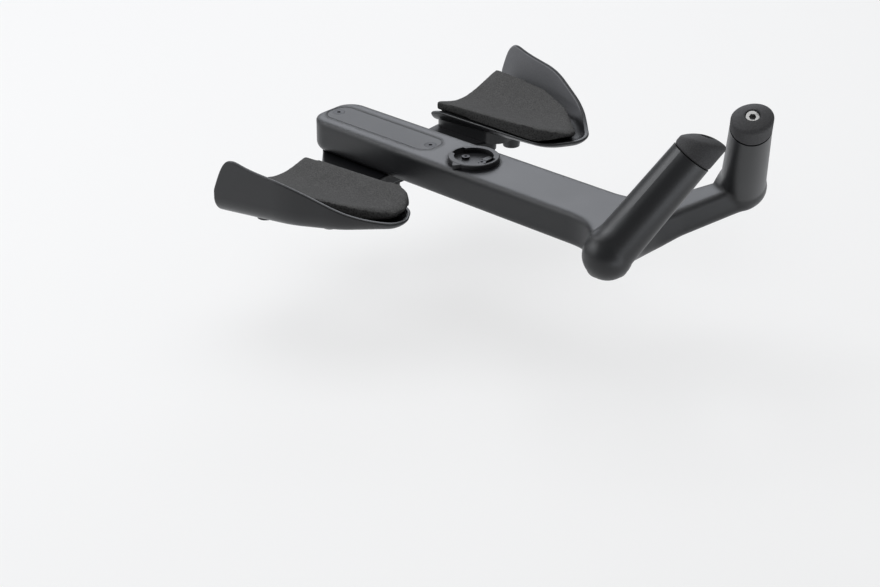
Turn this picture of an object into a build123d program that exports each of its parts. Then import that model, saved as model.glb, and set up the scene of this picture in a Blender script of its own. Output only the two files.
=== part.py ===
from build123d import *
from math import cos, radians, sin, sqrt, tan
import os

# Aero handlebar extension, in millimetres. X runs forward, Y to the rider's left, Z up.
# The origin is the centre of the lowest spacer's underside, where the handlebar carries it.

# Clamp stack between the handlebar and the beam
spacer_thickness = 5.0
spacer_length = 52.0
spacer_width = 30.0
spacer_edge = 0.5
bolt_pitch = 32.0
bolt_diameter = 6.0
bolt_shank_diameter = 5.5
bolt_head_diameter = 10.0
bolt_head_height = 6.0
bolt_key = 5.0
bolt_key_depth = 3.0
bolt_reach = 12.0
washer_diameter = 12.0
washer_thickness = 1.6
hole_clearance = 0.4

# Armrest bridge
bridge_depth = 12.0
pedestal_length = 66.0
pedestal_width = 40.0
pedestal_corner_radius = 15.0
pedestal_draft = 1.0
wing_drop = 3.0
wing_thickness = 9.0
wing_edge = 1.5
wing_root_rear = -25.0
wing_root_front = 36.0
wing_root_y = 19.0
wing_waist_rear = 2.0
wing_waist_front = 40.0
wing_waist_y = 48.0
wing_tip_rear = -2.0
wing_tip_front = 36.0
wing_tip_y = 94.0
wing_nose_x = 52.0
wing_nose_y = 80.0
wing_corner_radius = 9.0
wing_waist_radius = 22.0

# Beam
beam_depth = 24.0
beam_rear = -36.5
beam_width_rear = 42.4
beam_width_front = 46.4
beam_corner_radius = 14.0
deck_edge = 2.2
belly_radius = 7.0

# Fork and grips
fork_x = 219.0
fork_radius = 40.0
crotch_x = 250.5
crotch_y = 9.0
crotch_corner_x = 256.0
crotch_corner_y = 25.0
crotch_radius = 30.0
elbow_x = 270.6
elbow_y = 69.9
elbow_rise = 9.5
elbow_radius = 13.0
elbow_blend = 10.0
elbow_ball_radius = 15.8
arm_sweep = 47.0
arm_rear_reach = 5.8
arm_front_reach = 11.5
deck_break = 183.0
deck_rise = 16.2
belly_break = 175.0
belly_rise = 17.0
break_radius = 60.0
belly_break_radius = 40.0
grip_foot_radius = 14.8
grip_end_radius = 13.3
flare_reach = 11.0
flare_low = -8.0
flare_high = 17.0
flare_span = 30.0
flare_sink = 4.0
seam_x = 301.1
seam_y = 30.7
seam_rise = 70.8
grip_bore_radius = 10.0
grip_bore_depth = 44.0

# End plugs of the grips
cap_length = 16.2
cap_slant_forward = 0.09
cap_slant_inward = 0.4
cap_dome_radius = 28.0
cap_edge = 2.4
cap_seam = 0.5
cap_spigot_length = 18.0
cap_bolt_diameter = 5.0
cap_bolt_head_diameter = 8.5
cap_bolt_head_height = 5.0
cap_bolt_sunk = 2.5
cap_bolt_key = 4.0
cap_bolt_key_depth = 3.5
expander_length = 11.0
expander_nut_length = 9.0
plug_clearance = 0.2

# Top cover
cover_rear = -32.8
cover_front = 66.0
cover_width = 22.4
cover_corner_radius = 9.0
cover_thickness = 2.6
cover_gap = 0.3
cover_screw_rear = -27.0
cover_screw_front = 60.5
cover_screw_diameter = 4.0
cover_screw_head = 8.0
cover_screw_head_height = 2.3
cover_screw_length = 12.0
cover_screw_key = 2.5
cover_screw_key_depth = 1.5
pocket_length = 64.0
pocket_width = 16.0
pocket_depth = 12.0
pocket_corner_radius = 5.0

# Quarter-turn computer mount
mount_x = 100.0
mount_diameter = 35.0
mount_height = 5.5
mount_sunk = 2.0
mount_floor = 1.4
mount_lip_diameter = 27.0
mount_track_diameter = 31.4
mount_lip_thickness = 1.5
mount_notch_width = 11.5
mount_edge = 0.5
mount_screw_pitch = 14.6
mount_screw_diameter = 3.0
mount_screw_head = 5.5
mount_screw_head_height = 1.6
mount_screw_length = 8.0
mount_screw_key = 2.0
mount_screw_key_depth = 0.9

# Armrest cups
cup_rear = 1.0
cup_floor_z = 30.0
cup_pitch = 3.6
cup_thickness = 3.0
cup_corner_radius = 13.0
cup_inner_y = 64.5
cup_outer_y = 146.5
cup_shoulder_x = 60.5
cup_shoulder_y = 138.1
cup_shoulder_radius = 80.0
cup_cheek_x = 93.7
cup_cheek_y = 124.6
cup_cheek_radius = 60.0
cup_nose_x = 130.5
cup_nose_y = 95.0
cup_nose_radius = 17.0
cup_chin_x = 109.0
cup_chin_radius = 28.0
cup_run = 40.0
rim_inner_z = 36.5
rim_inner_tail_z = 38.0
rim_rear_z = 52.0
rim_turn_x = 7.0
rim_turn_z = 69.3
rim_crest_x = 22.0
rim_crest_z = 77.0
rim_mid_x = 56.0
rim_mid_z = 73.0
rim_tail_x = 94.0
rim_tail_z = 59.0
rim_nose_z = 43.0
rim_run = 12.0
rim_rear_fall = 40.0
rim_edge = 1.0
foot_length = 62.0
foot_width = 30.0
foot_corner_radius = 12.0
boss_foot_radius = 6.0
boss_bottom_z = 20.0
boss_height = 18.0
boss_draft = 6.0
boss_hole_radius = 2.5
boss_rear = (12.5, 111.0)
boss_middle = (31.2, 102.6)
boss_front = (54.6, 92.2)
fixing_rear = (17.0, 89.0)
fixing_front = (40.5, 80.5)
cup_screw_diameter = 5.0
cup_screw_head = 9.6
cup_screw_head_height = 2.6
cup_screw_key = 3.0
cup_screw_key_depth = 1.6
insert_diameter = 7.0
insert_length = 5.0

# Armrest pads
patch_thickness = 1.5
patch_diameter = 18.0
patch_rear_share = 0.15
patch_middle_share = 0.4
patch_front_share = 0.62
pad_margin = 6.25
pad_shift = 5.25
pad_lift = 0.6
pad_rear = 5.0
pad_inner_z = 49.0
pad_low_y = 89.0
pad_low_z = 43.5
pad_outer_y = 133.0
pad_outer_z = 54.5
pad_pitch = 1.0
pad_brim = 2.5

# Levels and places that follow
reach = 500.0
stack_top = 3 * spacer_thickness
beam_bottom = stack_top + bridge_depth
deck_z = beam_bottom + beam_depth
wing_bottom = stack_top + wing_drop
wing_top = wing_bottom + wing_thickness
pocket_floor = deck_z - pocket_depth
mount_base = deck_z - mount_sunk
mount_seat = mount_base + mount_floor
cover_middle = (cover_rear + cover_front) / 2
bolt_hole_radius = (bolt_diameter + hole_clearance) / 2
bolt_places = [(-bolt_pitch / 2, 0), (bolt_pitch / 2, 0)]
cover_screw_places = [(cover_screw_rear, 0), (cover_screw_front, 0)]
mount_screw_places = [(mount_x - mount_screw_pitch / 2, 0), (mount_x + mount_screw_pitch / 2, 0)]
boss_places = [boss_rear, boss_middle, boss_front]
fixing_places = [fixing_rear, fixing_front]
foot_place = ((fixing_rear[0] + fixing_front[0]) / 2, (fixing_rear[1] + fixing_front[1]) / 2)
both_fixing_places = [(x, side * y) for x, y in fixing_places for side in (1, -1)]
cup_floor = Plane(
    origin=(0, 0, cup_floor_z),
    x_dir=(cos(radians(cup_pitch)), 0, sin(radians(cup_pitch))),
    z_dir=(-sin(radians(cup_pitch)), 0, cos(radians(cup_pitch))),
)
cup_floor_top = cup_floor.offset(cup_thickness)

# Grip axis, from the elbow up to the seam below the end plug
elbow = Vector(elbow_x, elbow_y, deck_z + elbow_rise)
seam = Vector(seam_x, seam_y, deck_z + seam_rise)
grip_axis = (seam - elbow).normalized()
grip_length = (seam - elbow).length
elbow_plane = Plane(origin=elbow, z_dir=grip_axis)
seam_plane = Plane(origin=seam, z_dir=grip_axis)
cap_slant = Vector(cap_slant_forward, -cap_slant_inward, 1).normalized()
cap_dome = seam + grip_axis * cap_length - cap_slant * cap_dome_radius
cap_bolt_top = cap_length - cap_bolt_sunk
cap_bolt_seat = cap_bolt_top - cap_bolt_head_height
plug_radius = grip_bore_radius - plug_clearance
cap_bolt_hole_radius = (cap_bolt_diameter + hole_clearance) / 2

# Heading of one arm and the plane in which its rise is drawn
arm_heading = Vector(cos(radians(arm_sweep)), sin(radians(arm_sweep)), 0)
arm_across = Vector(-arm_heading.Y, arm_heading.X, 0)
rise_plane = Plane(origin=arm_across * reach, x_dir=arm_heading, z_dir=-arm_across)
elbow_rear = Vector(elbow_x, elbow_y, 0) + arm_across * arm_rear_reach
elbow_front = Vector(elbow_x, elbow_y, 0) - arm_across * arm_front_reach


def rise_at(x, y, start, angle):
    """Rise of an arm's face at (x, y), where it starts at a distance along the arm's heading."""
    along = x * arm_heading.X + abs(y) * arm_heading.Y - start
    return max(0.0, along) * tan(radians(angle))


def deck_gap(point):
    """Distance of a point from the level of the deck and its rising arms."""
    return abs(point.Z - deck_z - rise_at(point.X, point.Y, deck_break, deck_rise))


def belly_gap(point):
    """Distance of a point from the level of the underside and its rising arms."""
    return abs(point.Z - beam_bottom - rise_at(point.X, point.Y, belly_break, belly_rise))


def longest_edge(part, gap):
    """Longest edge of the smooth outline that half a part has at a level."""
    found = part.edges().filter_by(lambda e: gap(e.center()) < 0.1 and e.center().Y > 1)
    return found.sort_by(Edge.length)[-1]


def near(vertices, x, y):
    """Keeps the vertices of a sketch that stand at (x, y)."""
    place = Vector(x, y, 0)
    return vertices.filter_by(lambda v: (Vector(v.X, v.Y, 0) - place).length < 0.1)


# Plan of one half of the beam with its arm
with BuildSketch() as half_plan:
    with BuildLine():
        Polyline(
            (beam_rear, 0),
            (beam_rear, beam_width_rear / 2),
            (fork_x, beam_width_front / 2),
            (elbow_rear.X, elbow_rear.Y),
            (elbow_front.X, elbow_front.Y),
            (crotch_corner_x, crotch_corner_y),
            (crotch_x, crotch_y),
            (crotch_x, 0),
            close=True,
        )
    make_face()
    with Locations((elbow_x, elbow_y)):
        Circle(elbow_radius)
    elbow_joins = half_plan.vertices().filter_by(
        lambda v: abs((Vector(v.X, v.Y, 0) - Vector(elbow_x, elbow_y, 0)).length - elbow_radius) < 0.1
    )
    fillet(elbow_joins, elbow_blend)
    fillet(near(half_plan.vertices(), beam_rear, beam_width_rear / 2), beam_corner_radius)
    fillet(near(half_plan.vertices(), fork_x, beam_width_front / 2), fork_radius)
    fillet(near(half_plan.vertices(), crotch_corner_x, crotch_corner_y), crotch_radius)
    fillet(near(half_plan.vertices(), crotch_x, crotch_y), crotch_radius)

# Concave foot of the grip on the arm's deck
flare_side = elbow_plane.x_dir
flare_plane = Plane(origin=elbow, x_dir=flare_side, z_dir=flare_side.cross(grip_axis))
foot_rise = rise_at(elbow_x, elbow_y, deck_break, deck_rise)
arm_normal = Vector(0, 0, 1) * cos(radians(deck_rise)) - arm_heading * sin(radians(deck_rise))
arm_plane = Plane(origin=(elbow_x, elbow_y, deck_z + foot_rise), x_dir=arm_across, z_dir=arm_normal)
flare_radius = grip_foot_radius + (grip_end_radius - grip_foot_radius) * flare_high / grip_length
with BuildPart() as grip_foot:
    with BuildSketch(flare_plane):
        with BuildLine():
            Polyline(
                (flare_radius, flare_high),
                (0, flare_high),
                (0, -flare_high),
                (flare_radius + flare_reach, -flare_high),
                (flare_radius + flare_reach, flare_low),
            )
            TangentArc((flare_radius, flare_high), (flare_radius + flare_reach, flare_low), tangent=(0, -1))
        make_face()
    revolve(axis=Axis(elbow, grip_axis))
    with BuildSketch(arm_plane.offset(-flare_sink)):
        Circle(flare_span)
    extrude(amount=flare_span, mode=Mode.INTERSECT)
    with BuildSketch():
        add(half_plan.sketch)
        offset(amount=-deck_edge, mode=Mode.REPLACE)
    extrude(amount=reach, mode=Mode.INTERSECT)

# Grip with its rounded elbow, turned about the grip's axis
ball_height = sqrt(elbow_ball_radius**2 - grip_foot_radius**2)
with BuildPart() as grip:
    with BuildSketch(flare_plane):
        with BuildLine():
            Polyline(
                (grip_foot_radius, ball_height),
                (grip_end_radius, grip_length),
                (0, grip_length),
                (0, -elbow_ball_radius),
            )
            RadiusArc((0, -elbow_ball_radius), (grip_foot_radius, ball_height), -elbow_ball_radius)
        make_face()
    revolve(axis=Axis(elbow, grip_axis))

# Beam, arms and grips in one moulded piece
arm_end = deck_break + reach
with BuildPart() as extension_body:
    extrude(half_plan.sketch, amount=reach)
    with BuildSketch(rise_plane) as rise:
        with BuildLine():
            Polyline(
                (-reach, beam_bottom),
                (belly_break, beam_bottom),
                (arm_end, beam_bottom + (arm_end - belly_break) * tan(radians(belly_rise))),
                (arm_end, deck_z + (arm_end - deck_break) * tan(radians(deck_rise))),
                (deck_break, deck_z),
                (-reach, deck_z),
                close=True,
            )
        make_face()
        fillet(near(rise.vertices(), deck_break, deck_z), break_radius)
        fillet(near(rise.vertices(), belly_break, beam_bottom), belly_break_radius)
    extrude(amount=2 * reach, mode=Mode.INTERSECT)
    fillet(longest_edge(extension_body, deck_gap), deck_edge)
    fillet(longest_edge(extension_body, belly_gap), belly_radius)
    add(grip_foot.part)
    add(grip.part)
    with Locations(seam_plane):
        Hole(grip_bore_radius, grip_bore_depth)
    mirror(about=Plane.XZ)
    with BuildSketch(Plane.XY.offset(deck_z)):
        with Locations((cover_middle, 0)):
            RectangleRounded(cover_front - cover_rear, cover_width, cover_corner_radius)
    extrude(amount=-cover_thickness, mode=Mode.SUBTRACT)
    with BuildSketch(Plane.XY.offset(deck_z)):
        RectangleRounded(pocket_length, pocket_width, pocket_corner_radius)
    extrude(amount=-pocket_depth, mode=Mode.SUBTRACT)
    with BuildSketch(Plane.XY.offset(deck_z)):
        with Locations((mount_x, 0)):
            Circle((mount_diameter + hole_clearance) / 2)
    extrude(amount=-mount_sunk, mode=Mode.SUBTRACT)
    with Locations(Plane.XY.offset(pocket_floor)):
        with Locations(*bolt_places):
            Hole(bolt_hole_radius, pocket_depth + beam_depth)
    with Locations(Plane.XY.offset(deck_z)):
        with Locations(*cover_screw_places):
            Hole((cover_screw_diameter + plug_clearance) / 2, cover_screw_length + hole_clearance)
        with Locations(*mount_screw_places):
            Hole((mount_screw_diameter + plug_clearance) / 2, mount_sunk + mount_screw_length)

os.makedirs("parts", exist_ok=True)
extension_body.part.label = "extension_body"
export_step(extension_body.part, "parts/extension_body.step")

# Bridge that carries the armrest cups on both sides of the beam
with BuildPart() as armrest_bridge:
    with BuildSketch(Plane.XY.offset(wing_bottom)) as wing:
        with BuildLine():
            Polyline(
                (wing_root_rear, 0),
                (wing_root_rear, wing_root_y),
                (wing_waist_rear, wing_waist_y),
                (wing_tip_rear, wing_tip_y),
                (wing_tip_front, wing_tip_y),
                (wing_nose_x, wing_nose_y),
                (wing_waist_front, wing_waist_y),
                (wing_root_front, wing_root_y),
                (wing_root_front, 0),
                close=True,
            )
        make_face()
        mirror(about=Plane.YZ.rotated((0, 0, 90)))
        fillet(wing.vertices().filter_by(lambda v: abs(abs(v.Y) - wing_waist_y) < 0.1), wing_waist_radius)
        fillet(wing.vertices().filter_by(lambda v: abs(v.Y) > wing_nose_y - 0.1), wing_corner_radius)
    extrude(amount=wing_thickness)
    fillet(armrest_bridge.faces().sort_by(Axis.Z)[-1].edges(), wing_edge)
    fillet(armrest_bridge.faces().sort_by(Axis.Z)[0].edges(), wing_edge)
    with BuildSketch(Plane.XY.offset(stack_top)):
        RectangleRounded(pedestal_length, pedestal_width, pedestal_corner_radius)
    extrude(amount=bridge_depth, taper=pedestal_draft)
    with Locations(Plane.XY.offset(beam_bottom)):
        with Locations(*bolt_places):
            Hole(bolt_hole_radius, 2 * bridge_depth)
    with Locations(Plane.XY.offset(wing_top)):
        with Locations(*both_fixing_places):
            Hole((insert_diameter + plug_clearance) / 2, 2 * wing_thickness)
armrest_bridge.part.label = "armrest_bridge"
export_step(armrest_bridge.part, "parts/armrest_bridge.step")


def spacer_at(level):
    """One oval spacer of the stack, with its underside at a level."""
    with BuildPart() as spacer:
        with BuildSketch(Plane.XY.offset(level)):
            SlotOverall(spacer_length, spacer_width)
        extrude(amount=spacer_thickness)
        chamfer(spacer.edges().filter_by(GeomType.LINE).filter_by(Axis.X), spacer_edge)
        with Locations(Plane.XY.offset(level)):
            with Locations(*bolt_places):
                Hole(bolt_hole_radius)
    return spacer.part


# Spacers of the stack
with BuildPart() as spacer_lower:
    add(spacer_at(0))
spacer_lower.part.label = "spacer_lower"
export_step(spacer_lower.part, "parts/spacer_lower.step")

with BuildPart() as spacer_middle:
    add(spacer_at(spacer_thickness))
spacer_middle.part.label = "spacer_middle"
export_step(spacer_middle.part, "parts/spacer_middle.step")

with BuildPart() as spacer_upper:
    add(spacer_at(2 * spacer_thickness))
spacer_upper.part.label = "spacer_upper"
export_step(spacer_upper.part, "parts/spacer_upper.step")

# Clamp bolts and their washers, in the pocket below the cover
bolt_seat = pocket_floor + washer_thickness
with BuildPart() as clamp_bolts:
    with BuildSketch(Plane.XY.offset(bolt_seat)):
        with Locations(*bolt_places):
            Circle(bolt_head_diameter / 2)
    extrude(amount=bolt_head_height)
    with BuildSketch():
        with Locations(*bolt_places):
            Circle(bolt_shank_diameter / 2)
    extrude(amount=bolt_seat)
    with BuildSketch():
        with Locations(*bolt_places):
            Circle(bolt_diameter / 2)
    extrude(amount=-bolt_reach)
    with BuildSketch(Plane.XY.offset(bolt_seat + bolt_head_height)):
        with Locations(*bolt_places):
            RegularPolygon(bolt_key / 2, 6, major_radius=False)
    extrude(amount=-bolt_key_depth, mode=Mode.SUBTRACT)
clamp_bolts.part.label = "clamp_bolts"
export_step(clamp_bolts.part, "parts/clamp_bolts.step")

with BuildPart() as clamp_washers:
    with BuildSketch(Plane.XY.offset(pocket_floor)):
        with Locations(*bolt_places):
            Circle(washer_diameter / 2)
            Circle(bolt_hole_radius, mode=Mode.SUBTRACT)
    extrude(amount=washer_thickness)
clamp_washers.part.label = "clamp_washers"
export_step(clamp_washers.part, "parts/clamp_washers.step")

# Cover over the clamp pocket, flush with the deck
cover_bottom = deck_z - cover_thickness
with BuildPart() as top_cover:
    with BuildSketch(Plane.XY.offset(cover_bottom)):
        with Locations((cover_middle, 0)):
            RectangleRounded(
                cover_front - cover_rear - 2 * cover_gap,
                cover_width - 2 * cover_gap,
                cover_corner_radius - cover_gap,
            )
    extrude(amount=cover_thickness)
    with Locations(Plane.XY.offset(deck_z)):
        with Locations(*cover_screw_places):
            CounterSinkHole(
                (cover_screw_diameter + hole_clearance) / 2,
                (cover_screw_head + hole_clearance) / 2,
            )
top_cover.part.label = "top_cover"
export_step(top_cover.part, "parts/top_cover.step")

with BuildPart() as cover_screws:
    with Locations(Plane.XY.offset(deck_z - cover_screw_head_height)):
        with Locations(*cover_screw_places):
            Cone(
                cover_screw_diameter / 2,
                cover_screw_head / 2,
                cover_screw_head_height,
                align=(Align.CENTER, Align.CENTER, Align.MIN),
            )
    with BuildSketch(Plane.XY.offset(deck_z - cover_screw_head_height)):
        with Locations(*cover_screw_places):
            Circle(cover_screw_diameter / 2)
    extrude(amount=cover_screw_head_height - cover_screw_length)
    with BuildSketch(Plane.XY.offset(deck_z)):
        with Locations(*cover_screw_places):
            RegularPolygon(cover_screw_key / 2, 6, major_radius=False)
    extrude(amount=-cover_screw_key_depth, mode=Mode.SUBTRACT)
cover_screws.part.label = "cover_screws"
export_step(cover_screws.part, "parts/cover_screws.step")

# Round socket for a computer, entered by two tabs and locked by a quarter turn
with BuildPart() as computer_mount:
    with BuildSketch(Plane.XY.offset(mount_base)):
        with Locations((mount_x, 0)):
            Circle(mount_diameter / 2)
    extrude(amount=mount_height)
    chamfer(computer_mount.faces().sort_by(Axis.Z)[-1].edges(), mount_edge)
    with BuildSketch(Plane.XY.offset(mount_seat)):
        with Locations((mount_x, 0)):
            Circle(mount_track_diameter / 2)
    extrude(amount=mount_height - mount_floor - mount_lip_thickness, mode=Mode.SUBTRACT)
    with BuildSketch(Plane.XY.offset(mount_seat)):
        with Locations((mount_x, 0)):
            Circle(mount_lip_diameter / 2)
    extrude(amount=mount_height, mode=Mode.SUBTRACT)
    with BuildSketch(Plane.XY.offset(mount_seat)):
        with Locations((mount_x, 0)):
            Circle(mount_track_diameter / 2)
            Rectangle(mount_diameter, mount_notch_width, mode=Mode.INTERSECT)
    extrude(amount=mount_height, mode=Mode.SUBTRACT)
    with Locations(Plane.XY.offset(mount_seat)):
        with Locations(*mount_screw_places):
            Hole((mount_screw_diameter + hole_clearance) / 2, mount_height)
computer_mount.part.label = "computer_mount"
export_step(computer_mount.part, "parts/computer_mount.step")

with BuildPart() as computer_mount_screws:
    with BuildSketch(Plane.XY.offset(mount_seat)):
        with Locations(*mount_screw_places):
            Circle(mount_screw_head / 2)
    extrude(amount=mount_screw_head_height)
    with BuildSketch(Plane.XY.offset(mount_seat)):
        with Locations(*mount_screw_places):
            Circle(mount_screw_diameter / 2)
    extrude(amount=-mount_screw_length)
    with BuildSketch(Plane.XY.offset(mount_seat + mount_screw_head_height)):
        with Locations(*mount_screw_places):
            RegularPolygon(mount_screw_key / 2, 6, major_radius=False)
    extrude(amount=-mount_screw_key_depth, mode=Mode.SUBTRACT)
computer_mount_screws.part.label = "computer_mount_screws"
export_step(computer_mount_screws.part, "parts/computer_mount_screws.step")

# Plan of the left armrest cup, drawn past its open rear end
tub_height = rim_crest_z
screw_top = cup_floor_z + cup_thickness
screw_seat = screw_top - cup_screw_head_height
cup_toe = (cup_outer_y - cup_shoulder_y) / (cup_shoulder_x - cup_rear)
with BuildSketch() as cup_outline:
    with BuildLine():
        Polyline(
            (cup_rear - cup_run, cup_inner_y),
            (cup_chin_x, cup_inner_y),
            (cup_nose_x, cup_nose_y),
            (cup_cheek_x, cup_cheek_y),
            (cup_shoulder_x, cup_shoulder_y),
            (cup_rear - cup_run, cup_outer_y + cup_run * cup_toe),
            close=True,
        )
    make_face()
    fillet(near(cup_outline.vertices(), cup_chin_x, cup_inner_y), cup_chin_radius)
    fillet(near(cup_outline.vertices(), cup_nose_x, cup_nose_y), cup_nose_radius)
    fillet(near(cup_outline.vertices(), cup_cheek_x, cup_cheek_y), cup_cheek_radius)
    fillet(near(cup_outline.vertices(), cup_shoulder_x, cup_shoulder_y), cup_shoulder_radius)


def cup_middle(share):
    """Point midway between the inner and outer walls, at a share of the cup's length."""
    x = cup_rear + share * (cup_nose_x - cup_rear)
    corners = [
        (cup_rear, cup_outer_y),
        (cup_shoulder_x, cup_shoulder_y),
        (cup_cheek_x, cup_cheek_y),
        (cup_nose_x, cup_nose_y),
    ]
    for (rear_x, rear_y), (front_x, front_y) in zip(corners, corners[1:]):
        if x <= front_x:
            break
    outer = rear_y + (x - rear_x) * (front_y - rear_y) / (front_x - rear_x)
    return (x, (cup_inner_y + outer) / 2)


def tub(inset, lift):
    """The cup's rounded trough shape, drawn in by an inset on all sides and raised by a lift."""
    with BuildPart() as trough:
        with BuildSketch(cup_floor.offset(lift)):
            add(cup_outline.sketch)
            if inset > 0:
                offset(amount=-inset, kind=Kind.INTERSECTION, mode=Mode.REPLACE)
        extrude(amount=tub_height)
        floor_edges = trough.faces().filter_by(cup_floor).sort_by(Axis.Z)[0].edges()
        fillet(floor_edges - floor_edges.filter_by(Axis.Y), cup_corner_radius - inset)
    return trough.part


def rim_profile(y, heights):
    """Face in the upright plane at y that stands on a rim curve and covers all above it."""
    with BuildSketch(Plane.XZ.offset(-y)) as face:
        with BuildLine():
            rim = Edge.make_spline(
                [Vector(x, z) for x, z in zip(rim_stations, heights)],
                parameters=[x - rim_stations[0] for x in rim_stations],
            )
            add(rim)
            top_front = Line(rim @ 1, ((rim @ 1).X, reach))
            top = Line(top_front @ 1, ((rim @ 0).X, reach))
            Line(top @ 1, rim @ 0)
        make_face()
    return face.sketch


# Left armrest cup: an open trough with a high outer wall, on a foot and bosses
rim_low_side = cup_inner_y - rim_run
rim_high_side = cup_outer_y + rim_run
rim_stations = [
    cup_rear - rim_run,
    cup_rear,
    rim_turn_x,
    rim_crest_x,
    rim_mid_x,
    rim_tail_x,
    cup_nose_x,
    cup_nose_x + rim_run,
]
inner_rim = 5 * [rim_inner_z] + [rim_inner_tail_z, rim_nose_z, rim_nose_z]
outer_rim = [
    rim_rear_z - rim_rear_fall,
    rim_rear_z,
    rim_turn_z,
    rim_crest_z,
    rim_mid_z,
    rim_tail_z,
    rim_nose_z,
    rim_nose_z,
]


def above_rim(lift):
    """All the space above the rim's surface, raised by a lift."""
    with BuildPart() as space:
        loft(
            [
                rim_profile(rim_low_side, [z + lift for z in inner_rim]).face(),
                rim_profile(rim_high_side, [z + lift for z in outer_rim]).face(),
            ],
            ruled=True,
        )
    return space.part


with BuildPart() as left_cup:
    add(tub(0, 0))
    with BuildSketch(Plane.XY.offset(boss_bottom_z)):
        with Locations(*boss_places):
            Circle(boss_foot_radius)
    extrude(amount=boss_height, taper=-boss_draft)
    with BuildSketch(Plane.XY.offset(wing_top)):
        with Locations(foot_place):
            RectangleRounded(foot_length, foot_width, foot_corner_radius)
    extrude(amount=boss_height)
    add(tub(cup_thickness, cup_thickness), mode=Mode.SUBTRACT)
    with BuildSketch(Plane.YZ.offset(cup_rear)):
        with Locations((cup_outer_y, cup_floor_z)):
            Rectangle(reach, reach)
    extrude(amount=-reach, mode=Mode.SUBTRACT)
    add(above_rim(0), mode=Mode.SUBTRACT)
    rim_face = left_cup.faces().filter_by(GeomType.BSPLINE).sort_by(SortBy.AREA)[-1]
    fillet(rim_face.edges().filter_by(lambda e: e.length > 2 * cup_thickness), rim_edge)
    with BuildSketch(Plane.XY.offset(screw_seat)):
        with Locations(*fixing_places):
            Circle((cup_screw_head + hole_clearance) / 2)
    extrude(amount=tub_height, mode=Mode.SUBTRACT)
    with BuildSketch(Plane.XY.offset(boss_bottom_z)):
        with Locations(*boss_places):
            Circle(boss_hole_radius)
        with Locations(*fixing_places):
            Circle((cup_screw_diameter + hole_clearance) / 2)
    extrude(amount=tub_height, mode=Mode.SUBTRACT)
left_cup.part.label = "left_cup"
export_step(left_cup.part, "parts/left_cup.step")

with BuildPart() as right_cup:
    add(left_cup.part.mirror(Plane.XZ))
right_cup.part.label = "right_cup"
export_step(right_cup.part, "parts/right_cup.step")

# Left armrest pad: foam that fills the trough, with a hollow top for the forearm
pad_top_plane = Plane(
    origin=(0, 0, 0),
    x_dir=(0, 1, 0),
    z_dir=(cos(radians(pad_pitch)), 0, sin(radians(pad_pitch))),
)
with BuildSketch() as pad_outline:
    with Locations((0, -pad_shift)):
        add(cup_outline.sketch)
    offset(amount=-pad_margin, kind=Kind.INTERSECTION, mode=Mode.REPLACE)
with BuildPart() as forearm_space:
    with BuildSketch(Plane.YZ.offset(pad_rear)):
        with Locations((cup_outer_y, cup_floor_z)):
            Rectangle(reach, 2 * reach)
    extrude(amount=-reach)
    with BuildSketch(pad_top_plane.offset(-cup_run)):
        with BuildLine():
            hollow = Spline(
                (cup_inner_y - rim_run, pad_inner_z + pad_brim),
                (cup_inner_y + pad_margin - pad_shift, pad_inner_z),
                (pad_low_y, pad_low_z),
                (pad_outer_y, pad_outer_z),
                (cup_outer_y + rim_run, pad_outer_z + pad_brim),
            )
            outside = Line(hollow @ 1, ((hollow @ 1).X, 2 * reach))
            above = Line(outside @ 1, ((hollow @ 0).X, 2 * reach))
            Line(above @ 1, hollow @ 0)
        make_face()
    extrude(amount=reach)


def pad_share(space):
    """The share of a space that lies in the pad's outline and below its hollow top."""
    with BuildPart() as share:
        extrude(pad_outline.sketch, amount=reach)
        add(space, mode=Mode.INTERSECT)
        add(forearm_space.part, mode=Mode.SUBTRACT)
    return share.part


with BuildPart() as left_pad:
    add(pad_share(tub(cup_thickness + patch_thickness, cup_thickness + patch_thickness)))
    add(pad_share(above_rim(pad_lift)))
left_pad.part.label = "left_pad"
export_step(left_pad.part, "parts/left_pad.step")

with BuildPart() as right_pad:
    add(left_pad.part.mirror(Plane.XZ))
right_pad.part.label = "right_pad"
export_step(right_pad.part, "parts/right_pad.step")

# Hook-and-loop patches between the cup floor and the pad
patch_places = [cup_middle(share) for share in (patch_rear_share, patch_middle_share, patch_front_share)]
with BuildPart() as left_pad_patches:
    with BuildSketch(cup_floor_top):
        with Locations(*patch_places):
            Circle(patch_diameter / 2)
    extrude(amount=patch_thickness)
left_pad_patches.part.label = "left_pad_patches"
export_step(left_pad_patches.part, "parts/left_pad_patches.step")

with BuildPart() as right_pad_patches:
    add(left_pad_patches.part.mirror(Plane.XZ))
right_pad_patches.part.label = "right_pad_patches"
export_step(right_pad_patches.part, "parts/right_pad_patches.step")

# Screws that hold the cups on the bridge, and the threaded inserts they turn in
insert_bottom = wing_top - insert_length
with BuildPart() as cup_screws:
    with BuildSketch(Plane.XY.offset(screw_seat)):
        with Locations(*both_fixing_places):
            Circle(cup_screw_head / 2)
    extrude(amount=cup_screw_head_height)
    with BuildSketch(Plane.XY.offset(screw_seat)):
        with Locations(*both_fixing_places):
            Circle(cup_screw_diameter / 2)
    extrude(amount=insert_bottom - screw_seat)
    with BuildSketch(Plane.XY.offset(screw_top)):
        with Locations(*both_fixing_places):
            RegularPolygon(cup_screw_key / 2, 6, major_radius=False)
    extrude(amount=-cup_screw_key_depth, mode=Mode.SUBTRACT)
cup_screws.part.label = "cup_screws"
export_step(cup_screws.part, "parts/cup_screws.step")

with BuildPart() as cup_inserts:
    with BuildSketch(Plane.XY.offset(insert_bottom)):
        with Locations(*both_fixing_places):
            Circle(insert_diameter / 2)
            Circle((cup_screw_diameter + plug_clearance) / 2, mode=Mode.SUBTRACT)
    extrude(amount=insert_length)
cup_inserts.part.label = "cup_inserts"
export_step(cup_inserts.part, "parts/cup_inserts.step")

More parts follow.
